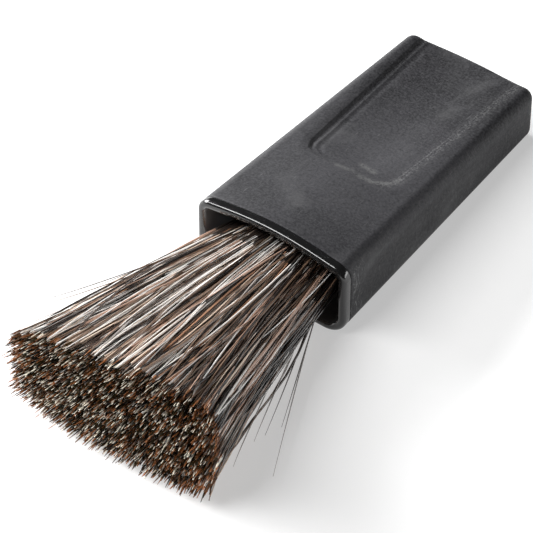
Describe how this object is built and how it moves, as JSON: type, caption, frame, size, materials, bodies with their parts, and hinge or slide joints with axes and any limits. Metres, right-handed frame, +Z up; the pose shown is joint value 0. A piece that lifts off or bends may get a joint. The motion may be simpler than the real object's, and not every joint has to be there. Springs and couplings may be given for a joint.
{
  "type": "tip cleaning brush",
  "caption": "Short hand brush with a tapered moulded grip, a thumb recess and a thick flared tuft of mixed stiff hair held in a glossy oblong mouth.",
  "frame": {"origin": "middle of the grip's flat underside", "axes": "+X across the brush, +Y from the hair towards the back of the grip, +Z up"},
  "size_m": [0.033, 0.0875, 0.0197],
  "materials": {
    "grip": "matte",
    "collar": "gloss",
    "socket": "matte",
    "adhesive": "gloss",
    "band": "satin",
    "hair": "satin"
  },
  "bodies": {
    "handle": {"grip": "grip", "mouth_collar": "collar", "root_socket": "socket", "hair_roots": "hair", "root_band": "band", "adhesive_plug": "adhesive"},
    "tuft": {"hair_lock_lower_1": "hair", "hair_lock_lower_2": "hair", "hair_lock_lower_3": "hair", "hair_lock_lower_4": "hair", "hair_lock_lower_5": "hair", "hair_lock_middle_1": "hair", "hair_lock_middle_2": "hair", "hair_lock_middle_3": "hair", "hair_lock_middle_4": "hair", "hair_lock_middle_5": "hair", "hair_lock_upper_1": "hair", "hair_lock_upper_2": "hair", "hair_lock_upper_3": "hair", "hair_lock_upper_4": "hair", "hair_lock_upper_5": "hair"}
  },
  "joints": [
    {"name": "tuft_flex", "type": "hinge", "parent": "handle", "child": "tuft", "pos_m": [0, -0.0195, 0.0064], "axis": [0, 0, 1], "range_deg": [-12, 12], "stiffness_Nm_per_rad": 0.4}
  ]
}
